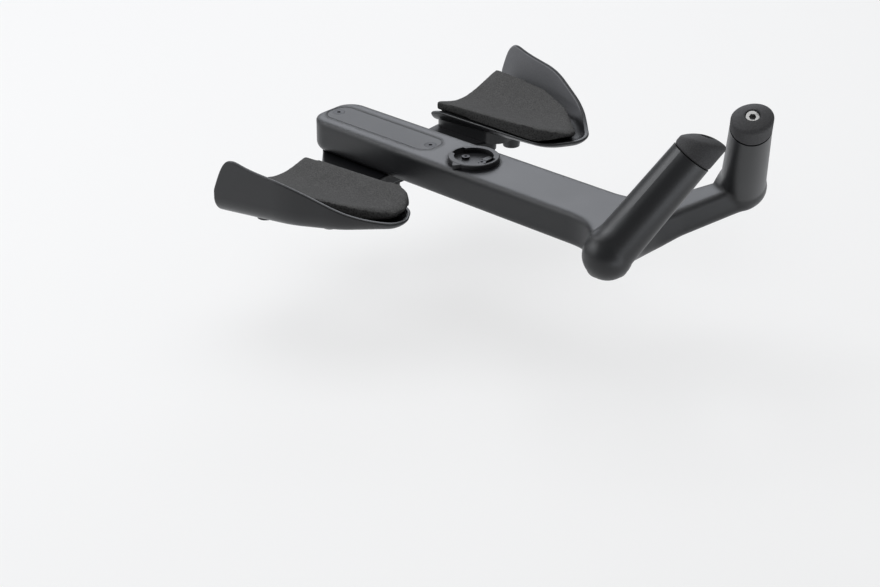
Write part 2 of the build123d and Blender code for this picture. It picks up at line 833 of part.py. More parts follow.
# End plug of the left grip: slanted head, spigot in the bore, sunk bolt
with BuildPart() as left_grip_cap:
    with BuildSketch(seam_plane):
        Circle(grip_end_radius)
    extrude(amount=3 * cap_length)
    with Locations(cap_dome):
        Sphere(cap_dome_radius, mode=Mode.INTERSECT)
    fillet(left_grip_cap.faces().sort_by(Axis(seam, grip_axis))[-1].edges(), cap_edge)
    with BuildSketch(seam_plane):
        Circle(grip_end_radius + cap_seam)
        Circle(grip_end_radius - cap_seam, mode=Mode.SUBTRACT)
    extrude(amount=cap_seam, mode=Mode.SUBTRACT)
    with BuildSketch(seam_plane):
        Circle(plug_radius)
    extrude(amount=-cap_spigot_length)
    with BuildSketch(seam_plane.offset(cap_bolt_seat)):
        Circle((cap_bolt_head_diameter + hole_clearance) / 2 + plug_clearance)
    extrude(amount=3 * cap_length, mode=Mode.SUBTRACT)
    with BuildSketch(seam_plane.offset(-cap_spigot_length)):
        Circle(cap_bolt_hole_radius)
    extrude(amount=cap_spigot_length + cap_length, mode=Mode.SUBTRACT)
left_grip_cap.part.label = "left_grip_cap"
export_step(left_grip_cap.part, "parts/left_grip_cap.step")

with BuildPart() as right_grip_cap:
    add(left_grip_cap.part.mirror(Plane.XZ))
right_grip_cap.part.label = "right_grip_cap"
export_step(right_grip_cap.part, "parts/right_grip_cap.step")

# Rubber sleeve and nut that spread in the bore when the plug's bolt is tightened
sleeve_bottom = -cap_spigot_length - expander_length
with BuildPart() as left_expander_sleeve:
    with BuildSketch(seam_plane.offset(sleeve_bottom)):
        Circle(plug_radius)
        Circle(cap_bolt_hole_radius, mode=Mode.SUBTRACT)
    extrude(amount=expander_length)
left_expander_sleeve.part.label = "left_expander_sleeve"
export_step(left_expander_sleeve.part, "parts/left_expander_sleeve.step")

with BuildPart() as right_expander_sleeve:
    add(left_expander_sleeve.part.mirror(Plane.XZ))
right_expander_sleeve.part.label = "right_expander_sleeve"
export_step(right_expander_sleeve.part, "parts/right_expander_sleeve.step")

with BuildPart() as left_expander_nut:
    with BuildSketch(seam_plane.offset(sleeve_bottom - expander_nut_length)):
        Circle(plug_radius)
        Circle((cap_bolt_diameter + plug_clearance) / 2, mode=Mode.SUBTRACT)
    extrude(amount=expander_nut_length)
left_expander_nut.part.label = "left_expander_nut"
export_step(left_expander_nut.part, "parts/left_expander_nut.step")

with BuildPart() as right_expander_nut:
    add(left_expander_nut.part.mirror(Plane.XZ))
right_expander_nut.part.label = "right_expander_nut"
export_step(right_expander_nut.part, "parts/right_expander_nut.step")

with BuildPart() as cap_bolts:
    with BuildSketch(seam_plane.offset(cap_bolt_seat)):
        Circle(cap_bolt_head_diameter / 2)
    extrude(amount=cap_bolt_head_height)
    with BuildSketch(seam_plane.offset(cap_bolt_seat)):
        Circle(cap_bolt_diameter / 2)
    extrude(amount=sleeve_bottom - expander_nut_length - cap_bolt_seat)
    with BuildSketch(seam_plane.offset(cap_bolt_top)):
        RegularPolygon(cap_bolt_key / 2, 6, major_radius=False)
    extrude(amount=-cap_bolt_key_depth, mode=Mode.SUBTRACT)
    mirror(about=Plane.XZ)
cap_bolts.part.label = "cap_bolts"
export_step(cap_bolts.part, "parts/cap_bolts.step")
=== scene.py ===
import logging
import math
from dataclasses import dataclass
from enum import Enum
from typing import NamedTuple, Union

import bmesh
import bpy
import numpy as np
from mathutils import Matrix, Vector


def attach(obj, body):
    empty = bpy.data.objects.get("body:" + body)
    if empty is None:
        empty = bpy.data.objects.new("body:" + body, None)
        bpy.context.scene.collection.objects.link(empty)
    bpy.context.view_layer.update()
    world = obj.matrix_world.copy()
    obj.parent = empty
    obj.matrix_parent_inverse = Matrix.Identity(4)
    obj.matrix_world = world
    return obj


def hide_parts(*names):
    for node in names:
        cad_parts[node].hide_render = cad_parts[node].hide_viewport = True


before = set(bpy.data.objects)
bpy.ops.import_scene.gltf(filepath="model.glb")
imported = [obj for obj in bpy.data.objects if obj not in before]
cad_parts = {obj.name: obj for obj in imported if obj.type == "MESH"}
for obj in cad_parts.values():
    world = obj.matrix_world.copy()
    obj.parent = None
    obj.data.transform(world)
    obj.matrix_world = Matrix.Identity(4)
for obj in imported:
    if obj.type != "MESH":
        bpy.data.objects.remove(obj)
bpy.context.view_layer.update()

BODY = "root"
NOISE_MIDDLE = 0.5
BEVEL_SAMPLES = 6
TINY = 1e-9
LOG = logging.getLogger("aero_extension")

Colour = tuple[float, float, float]
Point = tuple[float, float, float]
Range = tuple[float, float]


class Axis(Enum):
    """The parts of a vector, as the sockets that split it are named."""

    X = "X"
    Y = "Y"
    Z = "Z"


class Detail(Enum):
    """How many finer layers a noise has."""

    PLAIN = 1.0
    SOFT = 2.0
    FINE = 3.0
    FINEST = 4.0


class Side(Enum):
    """The rider's two sides, as the sign of Y."""

    LEFT = 1
    RIGHT = -1

    def named(self, piece: str) -> str:
        """Returns the name of this side's piece."""
        return f"{self.name.lower()}_{piece}"


class Value:
    """A number in a shader graph that takes part in Python expressions."""

    def __init__(self, graph: "ShaderGraph", socket: bpy.types.NodeSocket) -> None:
        """Keeps an output socket and the graph that its Math nodes go into."""
        self.graph = graph
        self.socket = socket

    def _math(self, operation: str, first: "Number", second: "Number") -> "Value":
        """Adds one Math node for two numbers or values and returns its result."""
        node = self.graph.node("ShaderNodeMath", {"operation": operation}, {0: first, 1: second})
        return Value(self.graph, node.outputs[0])

    def __add__(self, other: "Number") -> "Value":
        """Returns this value plus a number or value."""
        return self._math("ADD", self, other)

    def __radd__(self, other: "Number") -> "Value":
        """Returns a number plus this value."""
        return self._math("ADD", other, self)

    def __sub__(self, other: "Number") -> "Value":
        """Returns this value less a number or value."""
        return self._math("SUBTRACT", self, other)

    def __rsub__(self, other: "Number") -> "Value":
        """Returns a number less this value."""
        return self._math("SUBTRACT", other, self)

    def __mul__(self, other: "Number") -> "Value":
        """Returns this value times a number or value."""
        return self._math("MULTIPLY", self, other)

    def __rmul__(self, other: "Number") -> "Value":
        """Returns a number times this value."""
        return self._math("MULTIPLY", other, self)

    def smooth(self, low: float, high: float) -> "Value":
        """Eases this value from 0 at low to 1 at high.

        Args:
            low: The value that gives 0.
            high: The value that gives 1.

        Returns:
            The eased value.
        """
        node = self.graph.node(
            "ShaderNodeMapRange",
            {"interpolation_type": "SMOOTHSTEP"},
            {"Value": self, "From Min": low, "From Max": high},
        )
        return Value(self.graph, node.outputs["Result"])

    def swing(self, width: float) -> "Value":
        """Returns noise from 0 to 1 as a swing of a given width around 0."""
        return (self - NOISE_MIDDLE) * width


Number = Union[float, Value]


class ShaderGraph:
    """The node tree of one material or world, built node by node."""

    def __init__(self, tree: bpy.types.NodeTree) -> None:
        """Empties the tree, so that it holds only the nodes added here."""
        self.tree = tree
        tree.nodes.clear()

    def node(
        self, kind: str, settings: dict | None = None, inputs: dict | None = None
    ) -> bpy.types.Node:
        """Adds a node.

        Args:
            kind: The node's type.
            settings: Its settings, set before its inputs.
            inputs: What each input takes, by name or index: a number, a tuple, a value or a socket.

        Returns:
            The new node.
        """
        made = self.tree.nodes.new(kind)
        for key, setting in (settings or {}).items():
            setattr(made, key, setting)
        for key, given in (inputs or {}).items():
            if isinstance(given, Value):
                given = given.socket
            if isinstance(given, bpy.types.NodeSocket):
                self.tree.links.new(given, made.inputs[key])
            else:
                made.inputs[key].default_value = given
        return made

    def place(self) -> bpy.types.NodeSocket:
        """Returns the point on the object, in metres."""
        return self.node("ShaderNodeTexCoord").outputs["Object"]

    def noise(self, size: float, detail: Detail, stretch: Point = (1.0, 1.0, 1.0)) -> Value:
        """Adds soft noise.

        Args:
            size: The size of its largest features, in metres.
            detail: How many finer layers it has.
            stretch: How much longer its features are along each axis.

        Returns:
            The noise, from 0 to 1 around 0.5.
        """
        scale = tuple(1.0 / (size * s) for s in stretch)
        spread = self.node(
            "ShaderNodeVectorMath", {"operation": "MULTIPLY"}, {0: self.place(), 1: scale}
        )
        made = self.node(
            "ShaderNodeTexNoise",
            {},
            {"Vector": spread.outputs[0], "Scale": 1.0, "Detail": detail.value},
        )
        return Value(self, made.outputs[0])

    def cells(self, size: float) -> Value:
        """Adds rounded cells.

        Args:
            size: The size of a cell, in metres.

        Returns:
            The distance from each cell's middle, about 0 to 1.
        """
        made = self.node(
            "ShaderNodeTexVoronoi", {"feature": "F1"}, {"Vector": self.place(), "Scale": 1.0 / size}
        )
        return Value(self, made.outputs["Distance"])

    def mix(self, share: Number, first: "Paint", second: "Paint") -> bpy.types.NodeSocket:
        """Mixes two colours.

        Args:
            share: How much of the second colour there is.
            first: A colour or a colour socket.
            second: A colour or a colour socket.

        Returns:
            The mixed colour.
        """
        pair = [(*c, 1.0) if isinstance(c, tuple) else c for c in (first, second)]
        made = self.node(
            "ShaderNodeMix", {"data_type": "RGBA"}, {0: share, 6: pair[0], 7: pair[1]}
        )
        return made.outputs[2]

    def part(self, vector: bpy.types.NodeSocket, axis: Axis) -> Value:
        """Returns the part of a vector along one axis."""
        split = self.node("ShaderNodeSeparateXYZ", {}, {0: vector})
        return Value(self, split.outputs[axis.value])

    def facing(self, axis: Axis) -> Value:
        """Returns how far the surface faces along an axis, from -1 to 1."""
        return self.part(self.node("ShaderNodeNewGeometry").outputs["Normal"], axis)


Paint = Union[Colour, bpy.types.NodeSocket]


def tinted(colour: Colour, factor: float) -> Colour:
    """Returns a colour made lighter or darker by a factor."""
    red, green, blue = colour
    return (red * factor, green * factor, blue * factor)


class Surface(NamedTuple):
    """What changes over a finish: its colour, its roughness and its relief in metres."""

    colour: bpy.types.NodeSocket
    roughness: Value
    relief: Value


@dataclass(frozen=True)
class Finish:
    """What all finishes share: a name and the constants of the shader.

    Attributes:
        name: The finish's name.
        colour: Its main colour.
        roughness: Its mean roughness.
        specular: Its specular level.
        metallic: 1 for metal and 0 for anything else.
        rounding: The radius over which edges and creases are eased, in metres.
        crisp_above: The heights between which that easing fades out, where it does.
    """

    name: str
    colour: Colour
    roughness: float
    specular: float = 0.5
    metallic: float = 0.0
    rounding: float = 0.0
    crisp_above: Range | None = None

    def surface(self, graph: ShaderGraph) -> Surface:
        """Adds the nodes for what changes over the surface, and returns their results."""
        raise NotImplementedError

    def tone(self, factor: float) -> Colour:
        """Returns the finish's colour made lighter or darker by a factor."""
        return tinted(self.colour, factor)

    def tones(self, graph: ShaderGraph, share: Value, tones: Range) -> bpy.types.NodeSocket:
        """Returns two tones of the finish's colour, mixed by the share of the second."""
        return graph.mix(share, self.tone(tones[0]), self.tone(tones[1]))

    def _eased(self, graph: ShaderGraph) -> bpy.types.NodeSocket:
        """Eases the normal over edges and creases.

        Args:
            graph: The material's graph.

        Returns:
            The eased normal.
        """
        radius: Number = self.rounding
        if self.crisp_above is not None:
            crisp = graph.part(graph.place(), Axis.Z).smooth(*self.crisp_above)
            radius = (1.0 - crisp) * self.rounding
        bevel = graph.node("ShaderNodeBevel", {"samples": BEVEL_SAMPLES}, {"Radius": radius})
        return bevel.outputs[0]

    def material(self) -> bpy.types.Material:
        """Makes the material, once.

        Returns:
            The material of this finish.
        """
        label = f"{self.name}_finish"
        found = bpy.data.materials.get(label)
        if found is not None:
            return found
        made = bpy.data.materials.new(label)
        made.use_nodes = True
        graph = ShaderGraph(made.node_tree)
        surface = self.surface(graph)
        relief = {"Strength": 1.0, "Distance": 1.0, "Height": surface.relief}
        if self.rounding > 0.0:
            relief["Normal"] = self._eased(graph)
        bump = graph.node("ShaderNodeBump", {}, relief)
        shader = graph.node(
            "ShaderNodeBsdfPrincipled",
            {},
            {
                "Base Color": surface.colour,
                "Roughness": surface.roughness,
                "Metallic": self.metallic,
                "Specular IOR Level": self.specular,
                "Normal": bump.outputs[0],
            },
        )
        graph.node("ShaderNodeOutputMaterial", {}, {"Surface": shader.outputs[0]})
        return made


@dataclass(frozen=True)
class SatinLacquer(Finish):
    """Satin black lacquer: soft clouds, fine orange peel and a faint metallic fleck."""

    cloud_size: float = 0.05
    cloud_tones: Range = (0.85, 1.15)
    cloud_roughness: float = 0.1
    peel_size: float = 0.0016
    peel_depth: float = 0.000012
    grain_size: float = 0.00035
    grain_depth: float = 0.000006
    grain_roughness: float = 0.08
    fleck: Range = (0.62, 0.74)
    fleck_share: float = 0.5
    fleck_tone: float = 2.2

    def surface(self, graph: ShaderGraph) -> Surface:
        """Adds the lacquer's clouds, peel and grain.

        Args:
            graph: The material's graph.

        Returns:
            The lacquer's colour, roughness and relief.
        """
        clouds = graph.noise(self.cloud_size, Detail.FINE)
        peel = graph.noise(self.peel_size, Detail.SOFT)
        grain = graph.noise(self.grain_size, Detail.PLAIN)
        fleck = grain.smooth(*self.fleck)
        colour = self.tones(graph, clouds, self.cloud_tones)
        colour = graph.mix(fleck * self.fleck_share, colour, self.tone(self.fleck_tone))
        cloudy = self.roughness + clouds.swing(self.cloud_roughness)
        roughness = cloudy + grain.swing(self.grain_roughness)
        relief = peel * self.peel_depth + grain * self.grain_depth
        return Surface(colour, roughness, relief)


@dataclass(frozen=True)
class MouldedPlastic(Finish):
    """Moulded plastic with a fine spark-eroded texture."""

    cloud_size: float = 0.03
    cloud_tones: Range = (0.88, 1.12)
    cloud_roughness: float = 0.06
    texture_size: float = 0.0005
    texture_depth: float = 0.000015
    texture_roughness: float = 0.14
    spark: Range = (0.3, 0.7)
    spark_share: float = 0.3
    spark_tone: float = 1.6

    def surface(self, graph: ShaderGraph) -> Surface:
        """Adds the flow clouds and the tool's texture.

        Args:
            graph: The material's graph.

        Returns:
            The plastic's colour, roughness and relief.
        """
        clouds = graph.noise(self.cloud_size, Detail.SOFT)
        texture = graph.noise(self.texture_size, Detail.SOFT)
        colour = self.tones(graph, clouds, self.cloud_tones)
        sparks = texture.smooth(*self.spark) * self.spark_share
        colour = graph.mix(sparks, colour, self.tone(self.spark_tone))
        textured = self.roughness + texture.swing(self.texture_roughness)
        roughness = textured + clouds.swing(self.cloud_roughness)
        return Surface(colour, roughness, texture * self.texture_depth)


@dataclass(frozen=True)
class CupShell(MouldedPlastic):
    """Moulded plastic, lacquered outside and matt inside the high wall, where a paler colour is
    painted light.

    Attributes:
        inside: The paler colour painted inside the wall, which stands in for the light that face
            catches.
        lit_inside_tones: How far that colour varies.
        inside_roughness: How much rougher the inside is.
        inside_from: The distances from the middle plane over which the inside starts.
        inside_grain: The size of its grain.
    """

    inside: Colour = (0.130, 0.131, 0.137)
    lit_inside_tones: Range = (0.8, 1.2)
    inside_roughness: float = 0.3
    inside_from: Range = (0.07, 0.1)
    inside_grain: float = 0.001

    def surface(self, graph: ShaderGraph) -> Surface:
        """Adds the plastic's texture and the matt inside, whose paler colour is painted light.

        Args:
            graph: The material's graph.

        Returns:
            The shell's colour, roughness and relief.
        """
        plain = super().surface(graph)
        inward = graph.part(graph.place(), Axis.Y) * graph.facing(Axis.Y) * -1.0
        matt = inward.smooth(*self.inside_from)
        grain = graph.noise(self.inside_grain, Detail.SOFT)
        # Painted light: the paler colour inside the high wall stands in for the light its inner
        # face catches; the added roughness is the matt finish.
        dark, light = (tinted(self.inside, factor) for factor in self.lit_inside_tones)
        colour = graph.mix(matt, plain.colour, graph.mix(grain, dark, light))
        roughness = plain.roughness + matt * self.inside_roughness
        return Surface(colour, roughness, plain.relief)


@dataclass(frozen=True)
class GrainedRubber(Finish):
    """Soft rubber with a pebbled grain and pale dust in patches."""

    pebble_size: float = 0.0008
    pebble_depth: float = 0.00006
    pebble_edge: Range = (0.1, 0.7)
    pebble_tones: Range = (1.2, 0.75)
    dust: float = 0.35
    dust_edge: Range = (0.5, 0.75)
    dust_tone: float = 2.4
    patch_size: float = 0.012
    fine_size: float = 0.0004
    fine_depth: float = 0.00003
    fine_roughness: float = 0.2

    def surface(self, graph: ShaderGraph) -> Surface:
        """Adds the pebbles and the dust.

        Args:
            graph: The material's graph.

        Returns:
            The rubber's colour, roughness and relief.
        """
        pebbles = graph.cells(self.pebble_size)
        fine = graph.noise(self.fine_size, Detail.SOFT)
        patches = graph.noise(self.patch_size, Detail.FINE)
        colour = self.tones(graph, pebbles.smooth(*self.pebble_edge), self.pebble_tones)
        dust = fine.smooth(*self.dust_edge) * patches * self.dust
        colour = graph.mix(dust, colour, self.tone(self.dust_tone))
        roughness = self.roughness + fine.swing(self.fine_roughness)
        relief = (1.0 - pebbles) * self.pebble_depth + fine * self.fine_depth
        return Surface(colour, roughness, relief)


@dataclass(frozen=True)
class FoamCloth(Finish):
    """Foam with a brushed cloth top and open-celled sides, which are painted darker as shade."""

    # Where the top's colour gives way to the painted shade of the sides, by how far a face looks
    # up.
    top: Range = (0.45, 0.75)
    nap_size: float = 0.0009
    nap: Range = (0.3, 0.7)
    nap_tones: Range = (0.72, 1.3)
    nap_roughness: float = 0.1
    mottle_size: float = 0.006
    mottle: Range = (0.35, 0.65)
    mottle_share: float = 0.35
    mottle_tone: float = 0.8
    wear_size: float = 0.04
    wear: Range = (0.5, 0.8)
    wear_share: float = 0.3
    wear_tone: float = 1.25
    cell_size: float = 0.0013
    cell_edge: Range = (0.05, 0.6)
    shaded_side_tones: Range = (0.21, 0.588)
    nap_depth: float = 0.00012
    cell_depth: float = 0.00018

    def surface(self, graph: ShaderGraph) -> Surface:
        """Adds the cloth's nap on top and the foam's cells on the sides, which are painted darker
        as shade.

        Args:
            graph: The material's graph.

        Returns:
            The foam's colour, roughness and relief.
        """
        top = graph.facing(Axis.Z).smooth(*self.top)
        nap = graph.noise(self.nap_size, Detail.FINE)
        mottle = graph.noise(self.mottle_size, Detail.FINEST).smooth(*self.mottle)
        wear = graph.noise(self.wear_size, Detail.SOFT).smooth(*self.wear)
        cells = graph.cells(self.cell_size)
        cloth = self.tones(graph, nap.smooth(*self.nap), self.nap_tones)
        cloth = graph.mix(mottle * self.mottle_share, cloth, self.tone(self.mottle_tone))
        cloth = graph.mix(wear * self.wear_share, cloth, self.tone(self.wear_tone))
        # Painted shade: the sides get a much darker tone than the top, standing in for the shade on
        # them; the cells are texture.
        foam = self.tones(graph, cells.smooth(*self.cell_edge), self.shaded_side_tones)
        colour = graph.mix(top, foam, cloth)
        roughness = self.roughness + nap.swing(self.nap_roughness)
        relief = nap * self.nap_depth * top + cells * self.cell_depth * (1.0 - top)
        return Surface(colour, roughness, relief)


@dataclass(frozen=True)
class TurnedMetal(Finish):
    """Turned or cold-formed metal with fine tool marks and faint stains."""

    mark_size: float = 0.0004
    mark_stretch: Point = (1.0, 1.0, 6.0)
    mark_depth: float = 0.000006
    mark_roughness: float = 0.2
    stain_size: float = 0.004
    stain: Range = (0.45, 0.8)
    stain_tone: float = 0.6
    stain_roughness: float = 0.15

    def surface(self, graph: ShaderGraph) -> Surface:
        """Adds the tool marks and the stains.

        Args:
            graph: The material's graph.

        Returns:
            The metal's colour, roughness and relief.
        """
        marks = graph.noise(self.mark_size, Detail.FINE, self.mark_stretch)
        stains = graph.noise(self.stain_size, Detail.FINE)
        colour = self.tones(graph, stains.smooth(*self.stain), (1.0, self.stain_tone))
        marked = self.roughness + marks.swing(self.mark_roughness)
        roughness = marked + stains.swing(self.stain_roughness)
        return Surface(colour, roughness, marks * self.mark_depth)


@dataclass(frozen=True)
class LoopFabric(Finish):
    """Hook-and-loop fabric of tiny curled loops."""

    loop_size: float = 0.0007
    loop_edge: Range = (0.1, 0.6)
    loop_tones: Range = (1.4, 0.5)
    loop_depth: float = 0.0002
    tangle_roughness: float = 0.1

    def surface(self, graph: ShaderGraph) -> Surface:
        """Adds the loops.

        Args:
            graph: The material's graph.

        Returns:
            The fabric's colour, roughness and relief.
        """
        loops = graph.cells(self.loop_size)
        tangle = graph.noise(self.loop_size, Detail.FINE)
        colour = self.tones(graph, loops.smooth(*self.loop_edge), self.loop_tones)
        roughness = self.roughness + tangle.swing(self.tangle_roughness)
        return Surface(colour, roughness, (tangle - loops) * self.loop_depth)


LACQUER = SatinLacquer(
    "satin_lacquer",
    (0.0042, 0.0045, 0.0054),
    0.36,
    0.50,
    rounding=0.006,
    crisp_above=(0.085, 0.100),
)
COVER_LACQUER = SatinLacquer("cover_lacquer", (0.0048, 0.0051, 0.0060), 0.42, 0.50)
BRIDGE_BLACK = SatinLacquer(
    "bridge_anodised", (0.0040, 0.0040, 0.0048), 0.40, 0.30, grain_size=0.00025
)
# The cup's finish paints light on the inside of its high wall.
CUP_PLASTIC = CupShell("cup_plastic", (0.0050, 0.0052, 0.0060), 0.33, 0.50)
SPACER_PLASTIC = MouldedPlastic("spacer_plastic", (0.0360, 0.0352, 0.0345), 0.55, 0.30)
MOUNT_PLASTIC = MouldedPlastic("mount_plastic", (0.0110, 0.0110, 0.0120), 0.42, 0.40)
PAD_FOAM = FoamCloth("pad_foam_cloth", (0.0700, 0.0690, 0.0677), 0.95, 0.12)
PATCH_FABRIC = LoopFabric("patch_fabric", (0.0250, 0.0250, 0.0260), 0.95, 0.20)
CAP_RUBBER = GrainedRubber(
    "cap_rubber", (0.0370, 0.0362, 0.0372), 0.66, 0.30, rounding=0.0025
)
SLEEVE_RUBBER = GrainedRubber("sleeve_rubber", (0.0220, 0.0220, 0.0220), 0.80, 0.30)
BRIGHT_STEEL = TurnedMetal("bright_steel", (0.3300, 0.3250, 0.3150), 0.34, 0.50, 1.0)
DARK_STEEL = TurnedMetal("dark_steel", (0.0900, 0.0900, 0.0950), 0.38, 0.50, 1.0)
BLACK_SCREW = TurnedMetal("black_screw", (0.0450, 0.0450, 0.0480), 0.42, 0.50, 1.0)
INSERT_BRASS = TurnedMetal("insert_brass", (0.6200, 0.4300, 0.1700), 0.30, 0.50, 1.0)
NUT_ALLOY = TurnedMetal("nut_alloy", (0.6000, 0.6000, 0.6100), 0.34, 0.50, 1.0)


def dress(node: str, finish: Finish) -> None:
    """Gives a carried-over solid its finish.

    Args:
        node: The name of the solid's node.
        finish: The finish it gets.
    """
    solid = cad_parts[node]
    solid.data.materials.clear()
    solid.data.materials.append(finish.material())
    LOG.info("dressed %s in %s", node, finish.name)


def closed_mesh(shape: bmesh.types.BMesh, name: str) -> bpy.types.Mesh:
    """Turns a finished shape into a mesh whose faces all look outwards.

    Args:
        shape: The shape, which is freed.
        name: The mesh's name.

    Returns:
        The mesh.
    """
    bmesh.ops.recalc_face_normals(shape, faces=shape.faces)
    mesh = bpy.data.meshes.new(name)
    shape.to_mesh(mesh)
    shape.free()
    return mesh


def shade_smooth(mesh: bpy.types.Mesh) -> None:
    """Shades all faces of a mesh as one smooth surface."""
    for face in mesh.polygons:
        face.use_smooth = True


def add_piece(
    name: str, mesh: bpy.types.Mesh, finish: Finish
) -> bpy.types.Object:
    """Adds a new piece of the object that rides on its one body.

    Args:
        name: The piece's name.
        mesh: Its mesh, in metres in the object's frame.
        finish: The finish it gets.

    Returns:
        The new piece.
    """
    piece = bpy.data.objects.new(name, mesh)
    bpy.context.scene.collection.objects.link(piece)
    mesh.materials.clear()
    mesh.materials.append(finish.material())
    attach(piece, BODY)
    LOG.info("built %s with %d faces", name, len(mesh.polygons))
    return piece


@dataclass
class ForkedBeam:
    """The moulded beam with its two grips, and the cover over its clamp pocket."""

    def dress(self) -> None:
        """Gives the beam, the cover and its screws their finishes."""
        dress("extension_body", LACQUER)
        dress("top_cover", COVER_LACQUER)
        dress("cover_screws", BLACK_SCREW)


@dataclass
class ClampStack:
    """The spacers, the armrest bridge and the bolts that clamp them together.

    Attributes:
        bolt_offset: Each bolt's distance from the middle, along X.
        thread_radius: The radius of the bolts.
        thread_sink: How far the thread's root lies inside the bolt.
        thread_height: How far the ridge stands out from its root.
        thread_pitch: The distance between two turns.
        thread_flank: The ridge's half width at its root, as a share of the pitch.
        thread_crest: The crest's width, as a share of the root's.
        thread_top: The height at which the thread starts.
        thread_lead: How far below that the first turn lies, in pitches.
        thread_advance: How far one turn goes down, in pitches.
        thread_turns: How many turns there are.
        steps_per_turn: How many steps a turn has.
        run_out: How many steps the ridge takes to rise at its ends.
    """

    bolt_offset: float = 0.016
    thread_radius: float = 0.003
    thread_sink: float = 0.00002
    thread_height: float = 0.00022
    thread_pitch: float = 0.001
    thread_flank: float = 0.42
    thread_crest: float = 0.18
    thread_top: float = -0.0004
    thread_lead: float = 0.45
    thread_advance: float = 0.97
    thread_turns: int = 11
    steps_per_turn: int = 40
    run_out: int = 12

    def dress(self) -> None:
        """Gives the stack's solids their finishes."""
        for node in ("spacer_lower", "spacer_middle", "spacer_upper"):
            dress(node, SPACER_PLASTIC)
        dress("armrest_bridge", BRIDGE_BLACK)
        dress("clamp_bolts", DARK_STEEL)
        dress("clamp_washers", DARK_STEEL)

    def build_thread(self, name: str, x: float) -> bpy.types.Object:
        """Winds the thread's ridge round the free end of one bolt.

        Args:
            name: The piece's name.
            x: The bolt's place along X.

        Returns:
            The thread.
        """
        shape = bmesh.new()
        half = self.thread_pitch * self.thread_flank
        crest = half * self.thread_crest
        root = self.thread_radius - self.thread_sink
        profile = [(0.0, half), (1.0, crest), (1.0, -crest), (0.0, -half)]
        total = self.thread_turns * self.steps_per_turn
        rows = []
        for step in range(total + 1):
            turn = step / self.steps_per_turn
            angle = turn * math.tau
            ends = min(1.0, step / self.run_out, (total - step) / self.run_out)
            drop = self.thread_pitch * (turn * self.thread_advance + self.thread_lead)
            row = []
            for rise, height in profile:
                reach = root + rise * self.thread_height * ends
                around = (x + reach * math.cos(angle), reach * math.sin(angle))
                row.append(shape.verts.new((*around, self.thread_top - drop + height)))
            rows.append(row)
        for before, after in zip(rows, rows[1:]):
            for k in range(len(profile)):
                m = (k + 1) % len(profile)
                shape.faces.new((before[k], before[m], after[m], after[k]))
        shape.faces.new(rows[0][::-1])
        shape.faces.new(rows[-1])
        mesh = closed_mesh(shape, name)
        shade_smooth(mesh)
        return add_piece(name, mesh, DARK_STEEL)

    def build(self) -> None:
        """Builds the threads of both bolts."""
        self.build_thread("rear_bolt_thread", -self.bolt_offset)
        self.build_thread("front_bolt_thread", self.bolt_offset)


@dataclass
class ComputerMount:
    """The quarter-turn socket on the deck, with its pointer and the latch tongue in its floor.

    Attributes:
        centre: The socket's place along X.
        deck: The height of the deck.
        floor: The height of the socket's floor.
        ring: The radius at which the pointer starts.
        ring_top: The height of the pointer's top.
        pointer_width: The pointer's width at the ring.
        pointer_reach: How far it stands out.
        pointer_tip: Its width at the tip.
        tongue: The tongue's least X and Y, then its greatest, from the socket's centre.
        tongue_height: How far it stands above the floor.
        edge: The radius of the eased edges.
        edge_steps: How many faces an eased edge has.
    """

    centre: float = 0.1
    deck: float = 0.051
    floor: float = 0.0504
    ring: float = 0.0172
    ring_top: float = 0.0543
    pointer_width: float = 0.0078
    pointer_reach: float = 0.0042
    pointer_tip: float = 0.0012
    tongue: tuple[float, float, float, float] = (0.0036, 0.0034, 0.0084, 0.0112)
    tongue_height: float = 0.0015
    edge: float = 0.0004
    edge_steps: int = 3

    def dress(self) -> None:
        """Gives the socket and its screws their finishes."""
        dress("computer_mount", MOUNT_PLASTIC)
        dress("computer_mount_screws", BLACK_SCREW)

    def build_prism(
        self, name: str, outline: list[tuple[float, float]], low: float, high: float
    ) -> bpy.types.Object:
        """Builds an upright prism with eased edges.

        Args:
            name: The piece's name.
            outline: Its corners, anticlockwise from above, from the socket's centre.
            low: The height of its foot.
            high: The height of its top.

        Returns:
            The prism.
        """
        shape = bmesh.new()
        foot = [shape.verts.new((self.centre + x, y, low)) for x, y in outline]
        top = [shape.verts.new((self.centre + x, y, high)) for x, y in outline]
        shape.faces.new(foot[::-1])
        shape.faces.new(top)
        for k in range(len(outline)):
            m = (k + 1) % len(outline)
            shape.faces.new((foot[k], foot[m], top[m], top[k]))
        bmesh.ops.bevel(
            shape,
            geom=shape.edges[:],
            offset=self.edge,
            segments=self.edge_steps,
            profile=0.5,
            affect="EDGES",
        )
        return add_piece(name, closed_mesh(shape, name), MOUNT_PLASTIC)

    def build(self) -> None:
        """Builds the ring's pointer and the latch tongue."""
        half, tip = self.pointer_width / 2, self.pointer_tip / 2
        root, end = -self.ring + self.edge, -self.ring - self.pointer_reach
        pointer = [(-half, root), (-tip, end), (tip, end), (half, root)]
        self.build_prism("mount_pointer", pointer, self.deck, self.ring_top)
        left, near, right, far = self.tongue
        tongue = [(left, near), (right, near), (right, far), (left, far)]
        self.build_prism(
            "mount_latch_tongue", tongue, self.floor, self.floor + self.tongue_height
        )


